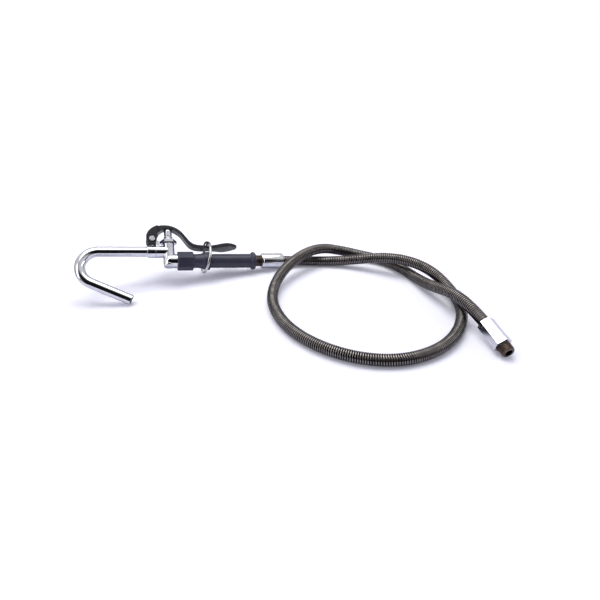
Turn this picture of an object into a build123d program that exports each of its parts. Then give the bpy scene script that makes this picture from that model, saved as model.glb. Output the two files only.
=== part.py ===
"""Hand-held bath sprayer: hook nozzle, squeeze valve, grip and armoured hose.

The sprayer is drawn on its own middle plane, "side": along runs down the grip's
axis towards the hose, up runs towards the lever, and 0, 0 is the centre of the
grip's rear face. The plane is tilted and leans back, so that the sprayer rests on
the tip of its hook and on the ferrule of its hose. The floor is Z = 0.
"""
import math
import os

from build123d import *

os.makedirs("parts", exist_ok=True)

# ---------------------------------------------------------------- sizes (mm, degrees)
# How the sprayer lies
lie_tilt = 8.5                  # the grip's axis falls this much towards the hose
lie_lean = 48.0                 # the middle plane leans back this much from upright
datum_x, datum_y = 106.6, 1.99   # the grip's rear face, from the part's origin

# Clearances
running_gap = 0.05              # radial, between a pin and what turns on it
seat_gap = 0.1                  # radial, between fixed parts that fit together
soft_gap = 0.3                  # between moving parts that come near each other

# Hook nozzle
nozzle_od, nozzle_wall = 15.0, 1.0
nozzle_rise = 15.0              # nozzle axis above the grip axis
nozzle_straight = 66.0          # from the collar to the start of the bend
bend_radius, bend_turn = 25.0, 153.5
collar_od, collar_length = 18.6, 12.0
collar_socket = 7.0             # how deep the tube goes into the collar
nozzle_washer_thickness = 1.4

# Valve
barrel_ahead = 11.5             # barrel axis, ahead of the grip's front face
barrel_od, barrel_bore = 17.6, 13.0
barrel_top, barrel_foot = 26.5, -9.5
shoulder_ahead = 19.0           # face that the collar screws up against, ahead of the barrel
stub_od, outlet_bore = 15.2, 10.5
inlet_od, inlet_bore = 21.0, 7.5
spigot_length = 9.0
bracket_width = 11.8
seat_level, seat_thickness, seat_hole = 6.0, 2.5, 8.0
chamber_bore, chamber_floor = 12.0, -6.0

# Bonnet
bonnet_hex, bonnet_flange = 21.6, 5.0
bonnet_washer_thickness = 1.0
neck_top = 37.6
skirt_length = 7.0

# Plunger
stem_d, cap_od, cap_crown = 5.0, 11.5, 50.0
disc_od, disc_thickness = 10.0, 2.0
spring_wire, spring_turns = 1.1, 5.5

# Lever
pivot_ahead, pivot_level = 23.5, 32.0       # from the barrel axis and the grip axis
pivot_d = 5.0
squeeze = 2.8                   # how far the lever closes, in degrees
lever_width, cheek_width, blade_width = 12.0, 19.2, 22.0
ring_d, ring_wire = 43.0, 4.0
lug_behind, lug_level, lug_radius = 81.0, -6.2, 5.6     # from the lever's pivot
ring_swing = 8.0                # the ring hangs this far forward of square
ring_yaw = 10.0                 # and is turned this far about its lug
ring_play = 1.6                 # room round the wire in the lug

# Grip
grip_length, grip_od, grip_bore = 119.5, 21.8, 16.4
hex_length, hex_across = 23.0, 24.8
finger_collar_od, flange_od, flange_length = 27.6, 27.6, 7.0
core_bore = 11.0

# Hose and its ends
hose_od, hose_bore = 16.0, 10.0
grip_straight, end_straight = 21.0, 18.0       # straight hose outside each ferrule
thread_neck_od, thread_neck, thread_pitch = 17.4, 9.5, 1.6
ferrule_od, ferrule_length = 23.5, 35.0
tail_bore, washer_thickness = 6.8, 1.5
end_hex, end_ferrule_length = 19.5, 32.5
end_collar_hex, end_collar_length = 20.5, 7.0
pipe_od, pipe_length, pipe_bore = 17.14, 12.0, 9.4
end_x, end_y, end_fall = 239.0, -258.8, 12.0    # start of the end ferrule, from the datum

# ---------------------------------------------------------------- places
tilt, lean = math.radians(lie_tilt), math.radians(lie_lean)
ferrule_end = thread_neck + ferrule_length
datum_height = ferrule_end * math.sin(tilt) + ferrule_od / 2 * math.cos(tilt)
down_grip = Vector(math.cos(tilt), 0, -math.sin(tilt))
out_of_side = Vector(
    math.sin(tilt) * math.sin(lean), -math.cos(lean), math.cos(tilt) * math.sin(lean)
)
side = Plane(origin=(datum_x, datum_y, datum_height), x_dir=down_grip, z_dir=out_of_side)

barrel = -grip_length - barrel_ahead
shoulder = barrel - shoulder_ahead
collar_front = shoulder - collar_length
pivot = barrel - pivot_ahead
grip_axis = Axis(side.origin, side.x_dir)
nozzle_axis = Axis(side.from_local_coords((0, nozzle_rise, 0)), side.x_dir)
barrel_axis = Axis(side.from_local_coords((barrel, 0, 0)), side.y_dir)


def across(along, up=0.0):
    """The plane square to the grip's axis at a place on the middle plane."""
    return Plane(side.from_local_coords((along, up, 0)), x_dir=side.z_dir, z_dir=side.x_dir)


def above(along, up):
    """The plane square to the barrel's axis at a place on the middle plane."""
    return Plane(side.from_local_coords((along, up, 0)), x_dir=side.x_dir, z_dir=side.y_dir)


def turned(plane, axis, points, mode=Mode.ADD):
    """Turn a closed outline of (along, up) points on the plane about an axis in it."""
    with BuildSketch(plane) as outline:
        with BuildLine():
            Polyline(*points, close=True)
        make_face()
    revolve(outline.sketch, axis=axis, mode=mode)


def ring_outline(start, stop, inner, outer, centre=0.0):
    """The cut section of a plain ring about a line at height centre."""
    return [
        (start, centre + inner),
        (stop, centre + inner),
        (stop, centre + outer),
        (start, centre + outer),
    ]


def finish(piece, name):
    """Label a finished piece and write it."""
    piece.part.label = name
    export_step(piece.part, f"parts/{name}.step")


# ---------------------------------------------------------------- nozzle
nozzle_radius = nozzle_od / 2
bend_start = collar_front - nozzle_straight
tube_end = collar_front + collar_socket
turn = math.radians(bend_turn)
bend_end = (
    bend_start - bend_radius * math.sin(turn),
    nozzle_rise - bend_radius * (1 - math.cos(turn)),
)
tip_fall = side.x_dir.Z * math.cos(turn) + side.y_dir.Z * math.sin(turn)
tip_clear = side.from_local_coords((*bend_end, 0)).Z
tip_length = (tip_clear - nozzle_radius * math.sqrt(1 - tip_fall**2)) / tip_fall
tip = (
    bend_end[0] - tip_length * math.cos(turn),
    bend_end[1] - tip_length * math.sin(turn),
)

with BuildPart() as hook_nozzle:
    with BuildLine(side) as hook_path:
        Line((tube_end, nozzle_rise), (bend_start, nozzle_rise))
        CenterArc((bend_start, nozzle_rise - bend_radius), bend_radius, 90, bend_turn)
        Line(bend_end, tip)
    with BuildSketch(across(tube_end, nozzle_rise)):
        Circle(nozzle_radius)
        Circle(nozzle_radius - nozzle_wall, mode=Mode.SUBTRACT)
    sweep(path=hook_path.line)
finish(hook_nozzle, "hook_nozzle")

with BuildPart() as nozzle_collar:
    collar_radius = collar_od / 2
    collar_lip = 0.8
    turned(side, nozzle_axis, [
        (collar_front, nozzle_rise + nozzle_radius + seat_gap),
        (tube_end, nozzle_rise + nozzle_radius + seat_gap),
        (tube_end, nozzle_rise + stub_od / 2 + seat_gap),
        (shoulder, nozzle_rise + stub_od / 2 + seat_gap),
        (shoulder, nozzle_rise + collar_radius - collar_lip / 2),
        (shoulder - collar_lip / 2, nozzle_rise + collar_radius),
        (collar_front + collar_lip, nozzle_rise + collar_radius),
        (collar_front, nozzle_rise + collar_radius - collar_lip),
    ])
finish(nozzle_collar, "nozzle_collar")

stub_front = tube_end + nozzle_washer_thickness
with BuildPart() as nozzle_washer:
    turned(side, nozzle_axis, ring_outline(
        tube_end, stub_front, outlet_bore / 2 + 0.5, stub_od / 2 - seat_gap, nozzle_rise
    ))
finish(nozzle_washer, "nozzle_washer")

# ---------------------------------------------------------------- valve
inlet_face = -grip_length - soft_gap
inlet_washer_thickness = 1.2
core_front = inlet_face + inlet_washer_thickness
core_radius = grip_bore / 2 - 2 * seat_gap
spigot_radius = core_bore / 2 - seat_gap
outlet_radius = collar_od / 2
lever_side = Plane(
    side.from_local_coords((pivot, pivot_level, 0)), x_dir=side.x_dir, z_dir=side.z_dir
)
pivot_axis = Axis(lever_side.origin, lever_side.z_dir)
bracket_back = pivot_ahead - bonnet_hex / math.sqrt(3) - 0.7     # clear of the bonnet's hexagon
bracket_front = pivot_ahead - shoulder_ahead
bracket_radius = 6.0

with BuildPart() as valve_body:
    with BuildSketch(above(barrel, barrel_foot)):
        Circle(barrel_od / 2)
    extrude(amount=barrel_top - barrel_foot)
    fillet(valve_body.edges().sort_by(barrel_axis)[0], radius=3.0)
    # inlet boss with a rounded back, in line with the grip
    with BuildSketch(side):
        with BuildLine():
            inlet_radius, inlet_back = inlet_od / 2, barrel_od / 2 - 0.8
            Line((barrel - inlet_back, 0), (inlet_face, 0))
            Line((inlet_face, 0), (inlet_face, inlet_radius))
            Line((inlet_face, inlet_radius), (barrel + 2, inlet_radius))
            ThreePointArc(
                (barrel + 2, inlet_radius),
                (barrel - 0.6 * inlet_back, 0.72 * inlet_radius),
                (barrel - inlet_back, 0),
            )
        make_face()
    revolve(axis=grip_axis)
    turned(side, grip_axis, ring_outline(
        inlet_face - 1, inlet_face + spigot_length, 0, spigot_radius
    ))
    # outlet boss and the stub that the collar screws on to
    turned(side, nozzle_axis, [
        (barrel, nozzle_rise),
        (barrel, nozzle_rise + outlet_radius - 0.6),
        (shoulder + 0.4, nozzle_rise + outlet_radius),
        (shoulder, nozzle_rise + outlet_radius - 0.4),
        (shoulder, nozzle_rise + stub_od / 2),
        (stub_front, nozzle_rise + stub_od / 2),
        (stub_front, nozzle_rise),
    ])
    # bracket for the lever's pin
    with BuildSketch(lever_side):
        with BuildLine():
            Polyline(
                (bracket_front, nozzle_rise - pivot_level),
                (bracket_back, nozzle_rise - pivot_level),
                (bracket_back, -2.5),
                (0, bracket_radius),
                (-1.5, -bracket_radius + 0.2),
                (bracket_front, nozzle_rise + outlet_radius + soft_gap - pivot_level),
                close=True,
            )
        make_face()
        Circle(bracket_radius)
    extrude(amount=bracket_width / 2, both=True)
    # water way: outlet, barrel, chamber under the seat, inlet
    turned(side, nozzle_axis, ring_outline(
        stub_front, barrel, 0, outlet_bore / 2, nozzle_rise
    ), Mode.SUBTRACT)
    with BuildSketch(above(barrel, seat_level)):
        Circle(barrel_bore / 2)
    extrude(amount=barrel_top - seat_level, mode=Mode.SUBTRACT)
    with BuildSketch(above(barrel, chamber_floor)):
        Circle(chamber_bore / 2)
    extrude(amount=seat_level - chamber_floor, mode=Mode.SUBTRACT)
    turned(side, grip_axis, ring_outline(
        barrel, inlet_face + spigot_length, 0, inlet_bore / 2
    ), Mode.SUBTRACT)
    with BuildSketch(lever_side):
        Circle(pivot_d / 2 + running_gap)
    extrude(amount=bracket_width, both=True, mode=Mode.SUBTRACT)
finish(valve_body, "valve_body")

with BuildPart() as seat_ring:
    with BuildSketch(above(barrel, seat_level)):
        Circle(barrel_bore / 2 - seat_gap)
        Circle(seat_hole / 2, mode=Mode.SUBTRACT)
    extrude(amount=seat_thickness)
    chamfer(seat_ring.edges().group_by(barrel_axis)[-1], length=0.4)
finish(seat_ring, "seat_ring")

with BuildPart() as inlet_washer:
    turned(side, grip_axis, ring_outline(
        inlet_face, core_front, core_bore / 2, core_radius - seat_gap
    ))
finish(inlet_washer, "inlet_washer")

# ---------------------------------------------------------------- bonnet
flange_foot = barrel_top + bonnet_washer_thickness
flange_top = flange_foot + bonnet_flange
skirt_foot = flange_foot - skirt_length
stem_radius = stem_d / 2
pocket_floor = flange_foot + 3.0
pocket_radius = 5.2
seal_wire, seal_level = 2.0, skirt_foot + 2.7
groove_radius = stem_radius + seal_wire + 0.2

with BuildPart() as bonnet_washer:
    with BuildSketch(above(barrel, barrel_top)):
        Circle(barrel_od / 2 - seat_gap)
        Circle(barrel_bore / 2, mode=Mode.SUBTRACT)
    extrude(amount=bonnet_washer_thickness)
finish(bonnet_washer, "bonnet_washer")

with BuildPart() as bonnet:
    with BuildSketch(above(barrel, flange_foot)):
        RegularPolygon(bonnet_hex / 2, 6, major_radius=False)
    extrude(amount=bonnet_flange)
    chamfer(bonnet.faces().sort_by(barrel_axis)[-1].edges(), length=0.6)
    with BuildSketch(above(barrel, skirt_foot)):
        Circle(barrel_bore / 2 - seat_gap)
    extrude(amount=skirt_length)
    turned(side, barrel_axis, [
        (barrel, flange_top - 1),
        (barrel + 8.6, flange_top - 1),
        (barrel + 8.6, flange_top + 0.6),
        (barrel + 6.9, neck_top - 1.6),
        (barrel + 6.9, neck_top - 0.4),
        (barrel + 6.5, neck_top),
        (barrel, neck_top),
    ])
    for floor, ceiling, radius in (
        (skirt_foot, pocket_floor, stem_radius + running_gap),
        (pocket_floor, neck_top, pocket_radius),
        (seal_level - seal_wire / 2 - seat_gap, seal_level + seal_wire / 2 + seat_gap, groove_radius),
    ):
        with BuildSketch(above(barrel, floor)):
            Circle(radius)
        extrude(amount=ceiling - floor, mode=Mode.SUBTRACT)
finish(bonnet, "bonnet")

with BuildPart() as stem_seal:
    seal_centre = barrel + stem_radius + running_gap + seal_wire / 2
    with BuildSketch(side):
        with Locations((seal_centre, seal_level)):
            Circle(seal_wire / 2)
    revolve(axis=barrel_axis)
finish(stem_seal, "stem_seal")

# ---------------------------------------------------------------- plunger
travel = pivot_ahead * math.radians(squeeze)
cap_foot = neck_top + travel + 0.5
cap_ceiling = cap_crown - 3.6
cap_radius = cap_od / 2
disc_top = seat_level - running_gap
disc_foot = disc_top - disc_thickness
holder_foot = disc_foot - 2.5
screw_radius = 1.5
stem_top = cap_crown - 1.7

with BuildPart() as plunger_stem:
    with BuildSketch(above(barrel, disc_foot)):
        Circle(stem_radius)
    extrude(amount=stem_top - disc_foot)
    with BuildSketch(above(barrel, disc_foot)):
        Circle(screw_radius + running_gap)
    extrude(amount=7, mode=Mode.SUBTRACT)
finish(plunger_stem, "plunger_stem")

with BuildPart() as plunger_cap:
    with BuildSketch(above(barrel, cap_foot)):
        Circle(cap_radius)
    extrude(amount=cap_crown - cap_foot)
    fillet(plunger_cap.edges().sort_by(barrel_axis)[-1], radius=2.4)
    for floor, ceiling, radius in (
        (cap_foot, cap_ceiling, pocket_radius - 0.2),
        (cap_foot, stem_top, stem_radius + running_gap),
    ):
        with BuildSketch(above(barrel, floor)):
            Circle(radius)
        extrude(amount=ceiling - floor, mode=Mode.SUBTRACT)
finish(plunger_cap, "plunger_cap")

with BuildPart() as return_spring:
    coil_radius = pocket_radius - 0.5 - spring_wire
    spring_foot = pocket_floor + running_gap + spring_wire / 2
    spring_height = cap_ceiling - running_gap - spring_wire / 2 - spring_foot
    with BuildLine() as coil:
        Helix(
            pitch=spring_height / spring_turns,
            height=spring_height,
            radius=coil_radius,
            center=above(barrel, spring_foot).origin,
            direction=side.y_dir,
        )
    with BuildSketch(Plane(coil.line @ 0, z_dir=coil.line % 0)):
        Circle(spring_wire / 2)
    sweep(path=coil.line, is_frenet=True)
finish(return_spring, "return_spring")

with BuildPart() as seat_disc:
    with BuildSketch(above(barrel, disc_foot)):
        Circle(disc_od / 2)
        Circle(stem_radius + seat_gap, mode=Mode.SUBTRACT)
    extrude(amount=disc_thickness)
finish(seat_disc, "seat_disc")

with BuildPart() as disc_holder:
    rim_height = 1.2
    with BuildSketch(above(barrel, holder_foot)):
        Circle(chamber_bore / 2 - 0.5)
        Circle(screw_radius + seat_gap, mode=Mode.SUBTRACT)
    extrude(amount=disc_foot - holder_foot)
    with BuildSketch(above(barrel, disc_foot)):
        Circle(chamber_bore / 2 - 0.5)
        Circle(disc_od / 2 + seat_gap, mode=Mode.SUBTRACT)
    extrude(amount=rim_height)
finish(disc_holder, "disc_holder")

with BuildPart() as disc_screw:
    head_height = 2.0
    with BuildSketch(above(barrel, holder_foot)):
        Circle(screw_radius)
    extrude(amount=disc_foot - holder_foot + 6)
    with BuildSketch(above(barrel, holder_foot - head_height)):
        Circle(2 * screw_radius)
        Rectangle(0.8, 5 * screw_radius, mode=Mode.SUBTRACT)
    extrude(amount=head_height)
finish(disc_screw, "disc_screw")

# ---------------------------------------------------------------- lever
cheek_radius, cheek_rear = 8.3, 8.5
fork_gap = bracket_width + 0.4
contact = cap_crown + soft_gap - pivot_level    # underside where it meets the cap
arch_end, blade_start, blade_tip = 80.0, 92.0, 127.0
flat_top, flat_under = -8.7, finger_collar_od / 2 + 4.5 - pivot_level
lug_place = (lug_behind, lug_level)

with BuildPart() as lever:
    # side view: cheeks, arched bar over the plunger, thin thumb blade
    with BuildSketch(lever_side):
        with BuildLine():
            over = Spline(
                (-cheek_radius, 0),
                (-5.8, 11.5),
                (1, 18.5),
                (pivot_ahead - 4, contact + 5.8),
                (40.6, 16),
                (52, 1.4),
                (60, -6),
                (70, flat_top + 0.5),
                (arch_end, flat_top),
                (blade_start, flat_top + 0.5),
                (103, flat_top + 1.4),
                (blade_tip - 12, flat_top + 2.2),
                (blade_tip - 1, flat_top + 1.2),
            )
            nose = ThreePointArc(
                over @ 1, (blade_tip, flat_top - 0.4), (blade_tip - 1, flat_top - 2)
            )
            under = Spline(
                nose @ 1,
                (blade_tip - 12, flat_under + 1.9),
                (100, flat_under + 0.4),
                (arch_end, flat_under),
                (66, flat_under + 0.1),
                (56, flat_under + 3.4),
                (41.5, 8.4),
                (pivot_ahead + cap_radius + 1, contact - 1.3),
                (pivot_ahead, contact + 0.4),
                (pivot_ahead - cap_radius - 1, contact - 0.8),
                (12, contact - 4),
                (8, contact - 9),
            )
            Polyline(
                under @ 1, (5, -cheek_radius), (-6.5, -cheek_radius), (-cheek_radius, 0)
            )
        make_face()
    extrude(amount=blade_width, both=True)
    # plan: broad at the cheeks, narrow along the bar, and a rounded leaf at the blade
    with BuildSketch(Plane(lever_side.origin, x_dir=side.x_dir, z_dir=side.y_dir)):
        with BuildLine():
            edge = Polyline(
                (-2 * cheek_radius, 0),
                (-2 * cheek_radius, -cheek_width / 2),
                (cheek_rear, -cheek_width / 2),
                (cheek_rear + 1.5, -lever_width / 2),
                (arch_end, -lever_width / 2),
            )
            leaf = Spline(
                edge @ 1,
                (blade_start - 5, -lever_width / 2 - 0.2),
                (blade_start + 2, -lever_width / 2 - 1.6),
                (blade_start + 10, -blade_width / 2 + 0.6),
                (blade_tip - 22, -blade_width / 2),
                (blade_tip - 14, -blade_width / 2 + 0.6),
                (blade_tip - 5, -blade_width / 3.2),
                (blade_tip - 0.8, -blade_width / 7),
                (blade_tip + 0.2, 0),
            )
            mirror(edge, about=Plane.XZ)
            mirror(leaf, about=Plane.XZ)
        make_face()
    extrude(amount=blade_tip, both=True, mode=Mode.INTERSECT)
    # lug that carries the ring
    with BuildSketch(lever_side):
        with Locations(lug_place):
            Circle(lug_radius)
    extrude(amount=3.5, both=True)
    # fork for the bracket, hole for the pin, hole for the ring
    with BuildSketch(lever_side):
        with BuildLine():
            Polyline(
                (-cheek_radius - 1, bracket_radius + 2),
                (4, bracket_radius + 3.4),
                (pivot_ahead - cap_radius - 1, contact - 3),
                (pivot_ahead - cap_radius - 1, -cheek_radius - 1),
                (-cheek_radius - 1, -cheek_radius - 1),
                close=True,
            )
        make_face()
    extrude(amount=fork_gap / 2, both=True, mode=Mode.SUBTRACT)
    with BuildSketch(lever_side):
        Circle(pivot_d / 2 + running_gap)
        with Locations(lug_place):
            Circle(ring_wire / 2 + ring_play)
    extrude(amount=cheek_width, both=True, mode=Mode.SUBTRACT)
finish(lever, "lever")

pin_head_radius, pin_head = 4.0, 1.8
cheek_face = cheek_width / 2 + 2 * seat_gap
clip_thickness, clip_groove = 0.8, 2.0
with BuildPart() as pivot_pin:
    with BuildSketch(lever_side.offset(cheek_face)):
        Circle(pin_head_radius)
    extrude(amount=pin_head)
    fillet(pivot_pin.faces().sort_by(pivot_axis)[-1].edges(), radius=0.8)
    with BuildSketch(lever_side.offset(cheek_face)):
        Circle(pivot_d / 2)
    extrude(amount=-2 * cheek_face - clip_thickness - 1)
    with BuildSketch(lever_side.offset(-cheek_face)):
        Circle(pivot_d)
        Circle(clip_groove, mode=Mode.SUBTRACT)
    extrude(amount=-clip_thickness, mode=Mode.SUBTRACT)
finish(pivot_pin, "pivot_pin")

with BuildPart() as pin_clip:
    with BuildSketch(lever_side.offset(-cheek_face - running_gap)):
        Circle(clip_groove + 2.2)
        Circle(clip_groove + running_gap, mode=Mode.SUBTRACT)
        with Locations((0, -clip_groove - 1.5)):
            Rectangle(2.4, 4, mode=Mode.SUBTRACT)
    extrude(amount=-clip_thickness + 2 * running_gap)
finish(pin_clip, "pin_clip")

with BuildPart() as hold_ring:
    hang = math.radians(ring_swing)
    ring_radius = ring_d / 2
    ring_centre = (
        lug_behind - ring_radius * math.sin(hang),
        lug_level - ring_radius * math.cos(hang),
    )
    yaw = math.radians(ring_yaw)
    toward_lug = side.x_dir * math.sin(hang) + side.y_dir * math.cos(hang)
    forward = side.x_dir * math.cos(hang) - side.y_dir * math.sin(hang)
    through_lug = side.z_dir * math.cos(yaw) + forward * math.sin(yaw)
    with BuildSketch(Plane(
        lever_side.from_local_coords((*lug_place, 0)), x_dir=toward_lug, z_dir=through_lug
    )):
        Circle(ring_wire / 2)
    revolve(axis=Axis(
        lever_side.from_local_coords((*ring_centre, 0)), toward_lug.cross(through_lug)
    ))
finish(hold_ring, "hold_ring")

# ---------------------------------------------------------------- grip
grip_radius = grip_od / 2
hex_end = hex_length - grip_length
neck_radius = grip_radius - 0.3
collar_face = hex_end + 25.0
collar_radius_grip = finger_collar_od / 2
flange_radius = flange_od / 2
flare_radius, flare_turn = 24.0, 28.0

with BuildPart() as grip:
    with BuildSketch(side):
        with BuildLine():
            Polyline(
                (-grip_length + 2, 0),
                (-grip_length + 2, hex_across / 2 - 1),
                (hex_end, hex_across / 2 - 0.2),
                (hex_end + 2, neck_radius),
                (hex_end + 6, neck_radius),
            )
            flare = JernArc((hex_end + 6, neck_radius), (1, 0), flare_radius, flare_turn)
            Polyline(
                flare @ 1,
                (collar_face - 1.6, collar_radius_grip),
                (collar_face - 0.4, collar_radius_grip - 0.2),
                (collar_face, collar_radius_grip - 0.9),
                (collar_face + 0.6, grip_radius - 0.6),
                (collar_face + 4, grip_radius - 0.2),
                (-flange_length - 1, grip_radius),
                (-flange_length, grip_radius + 1),
            )
            ThreePointArc(
                (-flange_length, grip_radius + 1),
                (-flange_length * 0.6, flange_radius),
                (0, flange_radius - 3.6),
            )
            Polyline((0, flange_radius - 3.6), (0, 0), (-grip_length + 2, 0))
        make_face()
    revolve(axis=grip_axis)
    with BuildSketch(across(-grip_length)):
        RegularPolygon(hex_across / 2, 6, major_radius=False)
    extrude(amount=hex_length)
    chamfer(grip.faces().sort_by(grip_axis)[0].edges(), length=0.8)
    with BuildSketch(across(-grip_length - 1)):
        Circle(grip_bore / 2)
    extrude(amount=grip_length + 2, mode=Mode.SUBTRACT)
finish(grip, "grip")

core_rear = -1.0
with BuildPart() as grip_core:
    turned(side, grip_axis, ring_outline(
        core_front, core_rear, core_bore / 2, core_radius
    ))
finish(grip_core, "grip_core")

# ---------------------------------------------------------------- joints of hose and fitting
# Both ends of the hose are made alike. On a joint's plane, 0 is the ferrule's outer end
# and along runs towards the hose.
end_slope = math.radians(end_fall)
end_height = (
    (end_ferrule_length + end_collar_length) * math.sin(end_slope)
    + end_collar_hex / math.sqrt(3) * math.cos(end_slope)
)
towards_hose = Vector(0, math.cos(end_slope), math.sin(end_slope))
end_start = Vector(datum_x + end_x, datum_y + end_y, end_height)
grip_joint = Plane(
    side.from_local_coords((thread_neck, 0, 0)), x_dir=side.x_dir, z_dir=side.z_dir
)
end_joint = Plane(
    end_start - towards_hose * end_ferrule_length, x_dir=towards_hose, z_dir=(1, 0, 0)
)
hose_radius = hose_od / 2
ferrule_radius = ferrule_od / 2
shank_length = 8.5
tail_flange = 2.5
tail_start = shank_length + washer_thickness
hose_start = tail_start + tail_flange + 0.4
cavity_radius = thread_neck_od / 2 + seat_gap


def joint_axis(joint):
    """The line down the middle of a hose joint."""
    return Axis(joint.origin, joint.x_dir)


def hollow_ferrule(joint, length):
    """Cut a ferrule's cavity for the fitting and its bore for the hose."""
    for start, stop, radius in (
        (0, hose_start - 0.2, cavity_radius),
        (0, length, hose_radius + seat_gap),
    ):
        turned(joint, joint_axis(joint), ring_outline(start, stop, 0, radius), Mode.SUBTRACT)


def tail_outline(length):
    """A flanged tail with barbs, drawn as half a section."""
    barb = hose_bore / 2 - seat_gap
    points = [
        (tail_start, tail_bore / 2),
        (tail_start, cavity_radius - 2 * seat_gap),
        (tail_start + tail_flange, cavity_radius - 2 * seat_gap),
        (tail_start + tail_flange, barb - 0.6),
    ]
    ridge = tail_start + tail_flange + 2
    while ridge + 4 < length:
        points += [(ridge, barb), (ridge + 3.4, barb - 0.6)]
        ridge += 4
    return points + [(length - 1, barb - 0.6), (length - 1, tail_bore / 2)]


def thread_outline(start, stop, radius, taper=0.0):
    """Ridges of a screw thread, drawn as rings, from start to stop."""
    turns = int(abs(stop - start) / thread_pitch)
    step = (stop - start) / turns
    points = []
    for number in range(turns):
        crest = radius - taper * abs(step) * number
        place = start + number * step
        points += [
            (place, crest - 0.55 * thread_pitch),
            (place + 0.35 * step, crest),
            (place + 0.65 * step, crest),
        ]
    return points + [(stop, crest - 0.55 * thread_pitch)]


# ---------------------------------------------------------------- joint at the grip
adapter_bore, adapter_stem = 8.0, 14.0
neck_outer = thread_neck_od / 2
neck_start = 0.4 - thread_neck
with BuildPart() as hose_adapter:
    turned(grip_joint, grip_axis, [
        (shank_length, adapter_bore / 2),
        (shank_length, neck_outer),
        (0, neck_outer),
        *thread_outline(0, neck_start + 2, neck_outer),
        (neck_start + 2, neck_outer),
        (neck_start, neck_outer),
        (neck_start, spigot_radius),
        (-thread_neck - adapter_stem, spigot_radius),
        (-thread_neck - adapter_stem, adapter_bore / 2),
    ])
finish(hose_adapter, "hose_adapter")

with BuildPart() as grip_hose_washer:
    turned(grip_joint, grip_axis, ring_outline(
        shank_length, tail_start, adapter_bore / 2, cavity_radius - 2 * seat_gap
    ))
finish(grip_hose_washer, "grip_hose_washer")

with BuildPart() as grip_hose_tail:
    turned(grip_joint, grip_axis, tail_outline(ferrule_length))
finish(grip_hose_tail, "grip_hose_tail")

with BuildPart() as grip_ferrule:
    turned(grip_joint, grip_axis, [
        (0, 0),
        (0, ferrule_radius - 1.2),
        (0.6, ferrule_radius - 0.4),
        (2.4, ferrule_radius - 0.4),
        (2.8, ferrule_radius),
        (ferrule_length - 1.0, ferrule_radius),
        (ferrule_length, ferrule_radius - 0.8),
        (ferrule_length, 0),
    ])
    hollow_ferrule(grip_joint, ferrule_length)
finish(grip_ferrule, "grip_ferrule")

# ---------------------------------------------------------------- joint at the far end
end_axis = joint_axis(end_joint)


def end_plane(along):
    """The plane square to the far fitting, a distance from its ferrule's outer end."""
    return Plane(
        end_joint.from_local_coords((along, 0, 0)), x_dir=end_joint.z_dir, z_dir=end_joint.x_dir
    )


with BuildPart() as end_ferrule:
    with BuildSketch(end_plane(0)):
        RegularPolygon(end_hex / 2, 6, major_radius=False, rotation=30)
    extrude(amount=end_ferrule_length)
    for face in (end_ferrule.faces().sort_by(end_axis)[0], end_ferrule.faces().sort_by(end_axis)[-1]):
        chamfer(face.edges(), length=0.7)
    hollow_ferrule(end_joint, end_ferrule_length)
finish(end_ferrule, "end_ferrule")

with BuildPart() as end_hose_tail:
    turned(end_joint, end_axis, tail_outline(end_ferrule_length))
finish(end_hose_tail, "end_hose_tail")

with BuildPart() as end_washer:
    turned(end_joint, end_axis, ring_outline(
        shank_length, tail_start, pipe_bore / 2, cavity_radius - 2 * seat_gap
    ))
finish(end_washer, "end_washer")

pipe_taper = 1 / 32             # of radius, a standard tapered pipe thread
with BuildPart() as end_fitting:
    turned(end_joint, end_axis, [
        (shank_length, 0),
        (shank_length, neck_outer),
        (-0.5, neck_outer),
        (-end_collar_length + 1, pipe_od / 2),
        *thread_outline(
            -end_collar_length, -end_collar_length - pipe_length + 1, pipe_od / 2, pipe_taper
        ),
        (-end_collar_length - pipe_length, pipe_od / 2 - 1.4),
        (-end_collar_length - pipe_length, 0),
    ])
    with BuildSketch(end_plane(-end_collar_length)):
        RegularPolygon(end_collar_hex / 2, 6, major_radius=False, rotation=30)
    extrude(amount=end_collar_length - 0.3)
    turned(end_joint, end_axis, ring_outline(
        -end_collar_length - pipe_length, shank_length, 0, pipe_bore / 2
    ), Mode.SUBTRACT)
finish(end_fitting, "end_fitting")

# ---------------------------------------------------------------- hose
# The route's points are measured from the point of the floor under the grip's rear face.
floor_run = [
    (124, -20, 8), (158, -39, 15), (192, -65, 27), (222, -92, 29), (244, -123, 23),
    (252, -159, 12), (247, -196, 8), (228, -229, 8), (204, -254, 8), (176, -272, 8),
    (146, -281, 8), (114, -282, 8), (83, -273, 8), (54, -255, 8), (27, -227, 8),
    (7, -192, 8), (-3, -152, 8), (-2, -108, 8), (12, -72, 13), (38, -42, 22),
    (74, -19, 29), (109, -6, 28), (145, -5, 17), (178, -17, 9), (204, -41, 8),
    (219, -74, 8), (225, -111, 8), (226, -150, 16), (233, -196, 29),
]
route = [side.from_local_coords((thread_neck + hose_start, 0, 0))]
route += [side.from_local_coords((ferrule_end + grip_straight, 0, 0))]
route += [Vector(datum_x + x, datum_y + y, z) for x, y, z in floor_run]
route += [
    end_joint.from_local_coords((end_ferrule_length + end_straight, 0, 0)),
    end_joint.from_local_coords((hose_start, 0, 0)),
]

corner_radii = []
for before, corner, after in zip(route, route[1:], route[2:]):
    half_turn = math.radians((corner - before).get_angle(after - corner) / 2)
    shorter = min((corner - before).length, (after - corner).length)
    corner_radii.append(0.45 * shorter / math.tan(half_turn))
    print(f"corner at {corner.X:.0f}, {corner.Y:.0f}: radius {corner_radii[-1]:.0f} mm")

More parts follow.
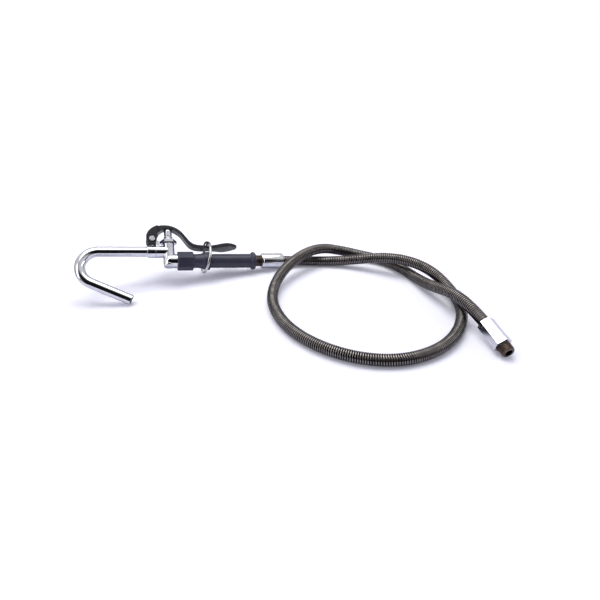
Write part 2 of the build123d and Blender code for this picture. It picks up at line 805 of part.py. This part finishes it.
with BuildPart() as hose:
    with BuildLine() as hose_path:
        FilletPolyline(*route, radius=corner_radii)
    with BuildSketch(Plane(route[0], z_dir=side.x_dir)):
        Circle(hose_radius)
        Circle(hose_bore / 2, mode=Mode.SUBTRACT)
    sweep(path=hose_path.line)
section = math.pi * (hose_radius**2 - (hose_bore / 2) ** 2)
hose_length = sum(edge.length for edge in hose_path.line.edges())
print(f"hose {hose_length:.0f} mm, its volume is {hose.part.volume / (section * hose_length):.4f} "
      "of its section times its length")
finish(hose, "hose")
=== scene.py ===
import math

import bpy
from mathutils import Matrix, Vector


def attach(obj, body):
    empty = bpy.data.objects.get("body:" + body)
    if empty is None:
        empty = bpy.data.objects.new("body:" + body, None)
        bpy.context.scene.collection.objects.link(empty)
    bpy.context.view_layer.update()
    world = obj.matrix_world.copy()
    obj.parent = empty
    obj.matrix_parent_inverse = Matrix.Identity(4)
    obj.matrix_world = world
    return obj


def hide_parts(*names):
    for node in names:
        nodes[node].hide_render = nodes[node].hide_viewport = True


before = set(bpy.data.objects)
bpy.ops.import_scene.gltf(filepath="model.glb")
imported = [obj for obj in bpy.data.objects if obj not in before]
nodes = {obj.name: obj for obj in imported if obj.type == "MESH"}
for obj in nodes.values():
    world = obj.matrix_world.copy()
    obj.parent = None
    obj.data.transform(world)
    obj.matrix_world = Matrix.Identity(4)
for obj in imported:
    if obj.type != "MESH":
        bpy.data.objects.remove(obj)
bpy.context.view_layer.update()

# ---------------------------------------------------------------- where things are (metres)
TILT, LEAN = math.radians(8.5), math.radians(48.0)
ALONG = Vector((math.cos(TILT), 0, -math.sin(TILT)))            # down the grip, to the hose
OUT = Vector((math.sin(TILT) * math.sin(LEAN), -math.cos(LEAN), math.cos(TILT) * math.sin(LEAN)))
UP = OUT.cross(ALONG)                                           # towards the lever
# the middle of the grip's rear face, as high as the ferrule's rear edge on the floor makes it
GRIP_FERRULE_END, GRIP_FERRULE_RADIUS = 0.0445, 0.01175
DATUM = Vector((
    0.1066, 0.00199,
    GRIP_FERRULE_END * math.sin(TILT) + GRIP_FERRULE_RADIUS * math.cos(TILT),
))


def on_side(along, up, out=0.0):
    """A point given on the sprayer's middle plane, in millimetres, as a point in the row frame."""
    return DATUM + (ALONG * along + UP * up + OUT * out) / 1000


# the fitting at the hose's far end: its slope, where the hose enters its ferrule, and the
# joint between the ferrule and the hexagon, whose lowest corner rests on the floor
END_FALL = math.radians(12.0)
FERRULE_LENGTH, HEXAGON_LENGTH, HEXAGON_ACROSS = 0.0325, 0.0070, 0.0205
TO_HOSE = Vector((0, math.cos(END_FALL), math.sin(END_FALL)))
END_START = Vector((
    DATUM.x + 0.239, DATUM.y - 0.2588,
    (FERRULE_LENGTH + HEXAGON_LENGTH) * math.sin(END_FALL)
    + HEXAGON_ACROSS / math.sqrt(3) * math.cos(END_FALL),
))
END_JOINT = END_START - TO_HOSE * FERRULE_LENGTH

# ---------------------------------------------------------------- camera
lens = bpy.data.cameras.new("camera")
lens.sensor_width, lens.lens = 36.0, 28.92
camera = bpy.data.objects.new("camera", lens)
camera.location = (-0.0306, -0.6668, 0.3676)
camera.rotation_euler = (math.radians(58.12), 0, math.radians(-17.56))
bpy.context.collection.objects.link(camera)
bpy.context.scene.camera = camera
bpy.context.scene.view_settings.view_transform = "Standard"


# ---------------------------------------------------------------- material helpers
def colour(code):
    """An sRGB hex colour as linear RGBA."""
    parts = [int(code[i:i + 2], 16) / 255 for i in (1, 3, 5)]
    return (*[c / 12.92 if c <= 0.04045 else ((c + 0.055) / 1.055) ** 2.4 for c in parts], 1)


def per_mm(size):
    """The texture scale whose features are this many millimetres, on metre coordinates."""
    return 1000 / size


def add(tree, kind, links=None, **settings):
    """A shader node with its settings, and its inputs as values or links."""
    node = tree.nodes.new("ShaderNode" + kind)
    for name, value in settings.items():
        setattr(node, name, value)
    for name, value in (links or {}).items():
        if isinstance(value, bpy.types.NodeSocket):
            tree.links.new(value, node.inputs[name])
        else:
            node.inputs[name].default_value = value
    return node


def ramp(tree, factor, *stops):
    """A colour ramp through (position, colour code) stops."""
    node = add(tree, "ValToRGB", {"Fac": factor})
    band = node.color_ramp
    while len(band.elements) < len(stops):
        band.elements.new(0.5)
    for element, (place, code) in zip(band.elements, stops):
        element.position, element.color = place, colour(code)
    return node.outputs["Color"]


def spread(tree, factor, low, high):
    """A factor from 0 to 1 turned into a value from low to high."""
    return add(tree, "MapRange", {"Value": factor, "To Min": low, "To Max": high}).outputs[0]


def material(name, **settings):
    """A new material with its tree, shader and object coordinates."""
    made = bpy.data.materials.new(name)
    made.use_nodes = True
    tree = made.node_tree
    shader = tree.nodes["Principled BSDF"]
    for key, value in settings.items():
        shader.inputs[key.replace("_", " ")].default_value = value
    place = add(tree, "TexCoord").outputs["Object"]
    return made, tree, shader, place


def noise(tree, place, size, detail=3.0, rough=0.5):
    return add(tree, "TexNoise", {
        "Vector": place, "Scale": per_mm(size), "Detail": detail, "Roughness": rough
    }).outputs["Fac"]


def along_axis(tree, place, axis, squeeze):
    """Coordinates stretched so that a texture makes thin rings about an axis."""
    reach = add(tree, "VectorMath", {0: place, 1: axis}, operation="DOT_PRODUCT").outputs["Value"]
    wide = add(tree, "VectorMath", {0: place, "Scale": squeeze}, operation="SCALE").outputs[0]
    ring = add(tree, "CombineXYZ", {"X": reach, "Y": 0.0, "Z": 0.0}).outputs[0]
    return add(tree, "VectorMath", {0: ring, 1: wide}, operation="ADD").outputs[0]


def bump(tree, shader, height, depth, strength=1.0, edge=0.0):
    """Relief this many millimetres deep, over edges rounded by edge millimetres."""
    links = {"Height": height, "Distance": depth / 1000, "Strength": strength}
    if edge:
        links["Normal"] = add(tree, "Bevel", {"Radius": edge / 1000}, samples=6).outputs[0]
    tree.links.new(add(tree, "Bump", links).outputs[0], shader.inputs["Normal"])


# ---------------------------------------------------------------- materials
def metal(name, light, dark, rough, axis, edge, haze=0.06, marks=0.4):
    """Metal with smudges and fine turning marks about an axis, over rounded edges."""
    made, tree, shader, place = material(name, Metallic=1.0)
    smudge = noise(tree, place, 14, 4, 0.6)
    lines = noise(tree, along_axis(tree, place, axis, 0.02), 0.25, 2)
    tree.links.new(ramp(tree, smudge, (0.35, dark), (0.6, light)), shader.inputs["Base Color"])
    mixed = add(tree, "Math", {0: smudge, 1: lines}, operation="MULTIPLY").outputs[0]
    tree.links.new(spread(tree, mixed, rough, rough + 4 * haze), shader.inputs["Roughness"])
    bump(tree, shader, lines, 0.004, marks, edge)
    return made


chrome = metal("chrome_plated_brass", "#d2d3d9", "#c4c5cd", 0.02, ALONG, 0.35, 0.008, 0.1)
steel = metal("drawn_stainless_steel", "#c9c8c9", "#aaa8aa", 0.14, OUT, 0.25)
brass = metal("turned_dezincified_brass", "#5c4f48", "#3b322d", 0.3, ALONG, 0.12)


def moulded(name, light, dark, rough, grain, edge, coat):
    """Moulded plastic or rubber with a fine grain, flow marks and scuffed edges."""
    made, tree, shader, place = material(
        name, Coat_Weight=coat, Coat_Roughness=0.08, Specular_IOR_Level=0.25
    )
    flow = noise(tree, place, 30, 3)
    speck = noise(tree, place, grain, 2)
    flat = add(tree, "NewGeometry").outputs["Normal"]
    rounded = add(tree, "Bevel", {"Radius": edge / 1000}, samples=4).outputs[0]
    turned = add(tree, "VectorMath", {0: flat, 1: rounded}, operation="DOT_PRODUCT")
    edges = add(tree, "MapRange", {
        "Value": turned.outputs["Value"], "From Min": 0.99, "From Max": 0.85, "To Max": 0.16
    }).outputs[0]
    base = ramp(tree, flow, (0.3, dark), (0.7, light))
    scuffed = add(tree, "Mix", {"Factor": edges, "A": base, "B": colour("#8b8b93")},
                  data_type="RGBA")
    tree.links.new(scuffed.outputs["Result"], shader.inputs["Base Color"])
    tree.links.new(spread(tree, speck, rough, rough + 0.14), shader.inputs["Roughness"])
    bump(tree, shader, speck, 0.02, 0.35, edge)
    return made


grip_plastic = moulded("satin_moulded_grip_plastic", "#3d3e4c", "#333440", 0.34, 0.5, 0.5, 0.1)
lever_plastic = moulded("gloss_moulded_lever_plastic", "#191a20", "#131418", 0.2, 0.8, 0.8, 0.1)
seal_rubber = moulded("moulded_seal_rubber", "#232325", "#161617", 0.6, 0.4, 0.1, 0.0)

# the fitting at the hose's end is plated on its hexagon and bare on its pipe thread
thread_end = brass.copy()
thread_end.name = "plated_hexagon_and_bare_pipe_thread"
tree = thread_end.node_tree
shader = tree.nodes["Principled BSDF"]
bare = shader.inputs["Base Color"].links[0].from_socket
place = add(tree, "TexCoord").outputs["Object"]
beyond = add(tree, "VectorMath", {0: place, 1: -TO_HOSE}, operation="DOT_PRODUCT")
edge_of_hex = -TO_HOSE.dot(END_JOINT) + HEXAGON_LENGTH + 0.0002
plated = add(tree, "Math", {0: beyond.outputs["Value"], 1: edge_of_hex}, operation="LESS_THAN")
skin = add(tree, "Mix", {"Factor": plated.outputs[0], "A": bare, "B": colour("#ccccd3")},
           data_type="RGBA")
tree.links.new(skin.outputs["Result"], shader.inputs["Base Color"])
tree.links.new(spread(tree, plated.outputs[0], 0.34, 0.05), shader.inputs["Roughness"])

strip, tree, shader, place = material("interlocked_steel_strip", Metallic=1.0)
valley = add(tree, "Attribute", attribute_name="valley").outputs["Fac"]
tarnish = noise(tree, place, 9, 4, 0.6)
bright = ramp(tree, tarnish, (0.3, "#6e6a6a"), (0.7, "#928d8b"))
# painted shade: the strip's colour darkens to near black towards the bottom of each groove, by the
# groove's depth, standing in for the shade that falls there
groove_shade = ramp(tree, valley, (0.04, "#ffffff"), (0.26, "#1c1a1b"))
blend = add(tree, "Mix", {"Factor": 1.0, "A": bright, "B": groove_shade}, data_type="RGBA",
            blend_type="MULTIPLY")
tree.links.new(blend.outputs["Result"], shader.inputs["Base Color"])
tree.links.new(spread(tree, tarnish, 0.10, 0.2), shader.inputs["Roughness"])
bump(tree, shader, noise(tree, place, 0.4, 2), 0.006, 0.4)


# ---------------------------------------------------------------- finishes of the CAD nodes
def finish_as(made, *names):
    for name in names:
        mesh = nodes[name].data
        mesh.materials.clear()
        mesh.materials.append(made)


finish_as(chrome, "hook_nozzle", "nozzle_collar", "valve_body", "bonnet", "grip_ferrule",
          "end_ferrule", "plunger_cap")
finish_as(thread_end, "end_fitting")
finish_as(steel, "pivot_pin", "pin_clip", "return_spring", "plunger_stem", "disc_screw",
          "hold_ring")
finish_as(brass, "seat_ring", "disc_holder", "grip_core", "hose_adapter", "grip_hose_tail",
          "end_hose_tail")
finish_as(seal_rubber, "nozzle_washer", "inlet_washer", "bonnet_washer", "stem_seal",
          "seat_disc", "grip_hose_washer", "end_washer")
finish_as(grip_plastic, "grip")
finish_as(lever_plastic, "lever")

# ---------------------------------------------------------------- hose
# points of the hose's run in millimetres, from the point of the floor under the grip's rear
floor_run = [
    (124, -20, 8), (158, -39, 15), (192, -65, 27), (222, -92, 29), (244, -123, 23),
    (252, -159, 12), (247, -196, 8), (228, -229, 8), (204, -254, 8), (176, -272, 8),
    (146, -281, 8), (114, -282, 8), (83, -273, 8), (54, -255, 8), (27, -227, 8),
    (7, -192, 8), (-3, -152, 8), (-2, -108, 8), (12, -72, 13), (38, -42, 22),
    (74, -19, 29), (109, -6, 28), (145, -5, 17), (178, -17, 9), (204, -41, 8),
    (219, -74, 8), (225, -111, 8), (226, -150, 16), (233, -196, 29),
]
route = [on_side(22.4, 0), on_side(65.5, 0)]
route += [Vector((DATUM.x + x / 1000, DATUM.y + y / 1000, z / 1000)) for x, y, z in floor_run]
route += [END_JOINT + TO_HOSE * (FERRULE_LENGTH + 0.018), END_JOINT + TO_HOSE * 0.0129]

line = bpy.data.curves.new("hose_line", "CURVE")
line.dimensions = "3D"
line.resolution_u = 24
spline = line.splines.new("NURBS")
spline.points.add(len(route) - 1)
for point, spot in zip(spline.points, route):
    point.co = (*spot, 1)
spline.order_u = 3
spline.use_endpoint_u = True
guide = bpy.data.objects.new("hose_line", line)
bpy.context.collection.objects.link(guide)
bpy.context.view_layer.update()
lay = bpy.data.meshes.new_from_object(guide.evaluated_get(bpy.context.evaluated_depsgraph_get()))
hose_path = [v.co.copy() for v in lay.vertices]
bpy.data.objects.remove(guide)

HOSE_RADIUS, PITCH, SIDES = 0.0079, 0.0029, 28
# one turn of the strip: place along the pitch, depth below the outside in millimetres
profile = [(0.0, 0.55), (0.10, 0.48), (0.22, 0.24), (0.34, 0.06), (0.46, 0.0), (0.58, 0.03),
           (0.70, 0.16), (0.80, 0.36), (0.90, 0.52)]


def armour_mesh(path):
    """A tube whose wall is a strip wound in a shallow spiral round the path."""
    steps = [(b - a).length for a, b in zip(path, path[1:])]
    reach = [0.0]
    for step in steps:
        reach.append(reach[-1] + step)
    turns = int(reach[-1] / PITCH)
    verts, faces, depths = [], [], []
    side = Vector((0, 0, 1))
    segment = 0
    for turn in range(turns):
        for share, depth in profile:
            s = (turn + share) * PITCH
            while segment < len(steps) - 1 and reach[segment + 1] < s:
                segment += 1
            t = (s - reach[segment]) / steps[segment]
            a = path[max(segment - 1, 0)]
            b, c = path[segment], path[segment + 1]
            d = path[min(segment + 2, len(path) - 1)]
            heading = ((c - a).normalized().lerp((d - b).normalized(), t)).normalized()
            side = (side - heading * side.dot(heading)).normalized()
            across = heading.cross(side)
            centre = b.lerp(c, t)
            for k in range(SIDES):
                angle = 2 * math.pi * k / SIDES
                out = side * math.cos(angle) + across * math.sin(angle)
                shift = heading * (PITCH * k / SIDES)
                radius = HOSE_RADIUS - depth / 1000
                verts.append(centre + out * radius + shift)
                depths.append(depth)
    rings = len(verts) // SIDES
    per_turn = len(profile)
    for ring in range(rings - per_turn - 1):
        for k in range(SIDES):
            here = ring * SIDES + k
            if k < SIDES - 1:
                faces.append((here, here + 1, here + 1 + SIDES, here + SIDES))
            else:
                # after one turn round, the strip has moved on by one pitch
                start = (ring + per_turn) * SIDES
                faces.append((here, start, start + SIDES, here + SIDES))
    mesh = bpy.data.meshes.new("hose_armour")
    mesh.from_pydata(verts, [], faces)
    mesh.polygons.foreach_set("use_smooth", [True] * len(faces))
    layer = mesh.attributes.new("valley", "FLOAT", "POINT")
    layer.data.foreach_set("value", depths)
    mesh.update()
    return mesh


armour = bpy.data.objects.new("hose_armour", armour_mesh(hose_path))
armour.data.materials.append(strip)
bpy.context.collection.objects.link(armour)
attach(armour, "body")
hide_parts("hose")

# ---------------------------------------------------------------- floor, world and lights
FLOOR_MIDDLE, FLOOR_RADIUS, FLOOR_CORNERS = Vector((0.1, -0.1, 0)), 0.66, 72
rim = [math.tau * k / FLOOR_CORNERS for k in range(FLOOR_CORNERS)]
floor_mesh = bpy.data.meshes.new("studio_floor")
floor_mesh.from_pydata(
    [FLOOR_MIDDLE + FLOOR_RADIUS * Vector((math.cos(a), math.sin(a), 0)) for a in rim],
    [], [list(range(FLOOR_CORNERS))],
)
floor = bpy.data.objects.new("studio_floor", floor_mesh)
bpy.context.collection.objects.link(floor)
paper, tree, shader, place = material("pale_backdrop_paper", Roughness=0.8,
                                      Specular_IOR_Level=0.2)
fibre = noise(tree, place, 3, 3)
tree.links.new(ramp(tree, fibre, (0.3, "#f7f7fc"), (0.7, "#fcfcff")), shader.inputs["Base Color"])
# towards its rim the paper glows to the camera, so that it ends in the background's white
ray = add(tree, "LightPath").outputs["Is Camera Ray"]
away = add(tree, "VectorMath", {0: place, 1: FLOOR_MIDDLE}, operation="DISTANCE")
fade = add(tree, "MapRange", {
    "Value": away.outputs["Value"], "From Min": 0.38, "From Max": 0.64, "To Min": 0.12,
    "To Max": 1.0
}).outputs[0]
glow = add(tree, "Math", {0: ray, 1: fade}, operation="MULTIPLY").outputs[0]
shader.inputs["Emission Color"].default_value = colour("#ffffff")
tree.links.new(glow, shader.inputs["Emission Strength"])
floor_mesh.materials.append(paper)

world = bpy.data.worlds.new("studio")
bpy.context.scene.world = world
world.use_nodes = True
tree = world.node_tree
rays = add(tree, "LightPath").outputs
seen = add(tree, "Math", {0: rays["Is Camera Ray"], 1: rays["Is Transmission Ray"]},
           operation="MAXIMUM").outputs[0]
# the studio is pale all round but for the unlit side behind the camera
heading = add(tree, "TexCoord").outputs["Generated"]
facing = add(tree, "VectorMath", {0: heading, 1: (-0.22, -0.86, 0.46)}, operation="DOT_PRODUCT")
walls = add(tree, "MapRange", {
    "Value": facing.outputs["Value"], "From Min": 0.66, "From Max": 0.84, "To Min": 0.9,
    "To Max": 0.01
}).outputs[0]
height = add(tree, "SeparateXYZ", {0: heading}).outputs["Z"]
low = add(tree, "MapRange", {"Value": height, "From Min": 0.02, "From Max": 0.4, "To Min": 0.3})
dimmed = add(tree, "Math", {0: walls, 1: low.outputs[0]}, operation="MULTIPLY").outputs[0]
shine = add(tree, "Mix", {"Factor": rays["Is Glossy Ray"], "A": 0.35, "B": dimmed})
level = add(tree, "Math", {0: shine.outputs["Result"], 1: seen}, operation="MAXIMUM")
tree.links.new(level.outputs[0], tree.nodes["Background"].inputs["Strength"])
plain = add(tree, "Math", {0: seen, 1: rays["Is Glossy Ray"]}, operation="MAXIMUM").outputs[0]
tint = add(tree, "Mix", {"Factor": plain, "A": colour("#d6d6ff"), "B": colour("#ffffff")},
           data_type="RGBA")
tree.links.new(tint.outputs["Result"], tree.nodes["Background"].inputs["Color"])


def lamp(name, spot, aim, size, power):
    """A soft rectangular lamp at a point, turned to face another."""
    light = bpy.data.lights.new(name, "AREA")
    light.shape, light.size, light.size_y, light.energy = "RECTANGLE", *size, power
    thing = bpy.data.objects.new(name, light)
    thing.location = spot
    thing.rotation_euler = (Vector(aim) - Vector(spot)).to_track_quat("-Z", "Y").to_euler()
    bpy.context.collection.objects.link(thing)


lamp("overhead_softbox", (0.1, 0.25, 1.5), FLOOR_MIDDLE, (1.5, 1.0), 19)
lamp("left_strip", (-1.3, -0.3, 0.8), (0, -0.1, 0), (0.4, 1.4), 6)
lamp("right_strip", (1.5, -0.5, 0.7), FLOOR_MIDDLE, (0.3, 1.2), 4)
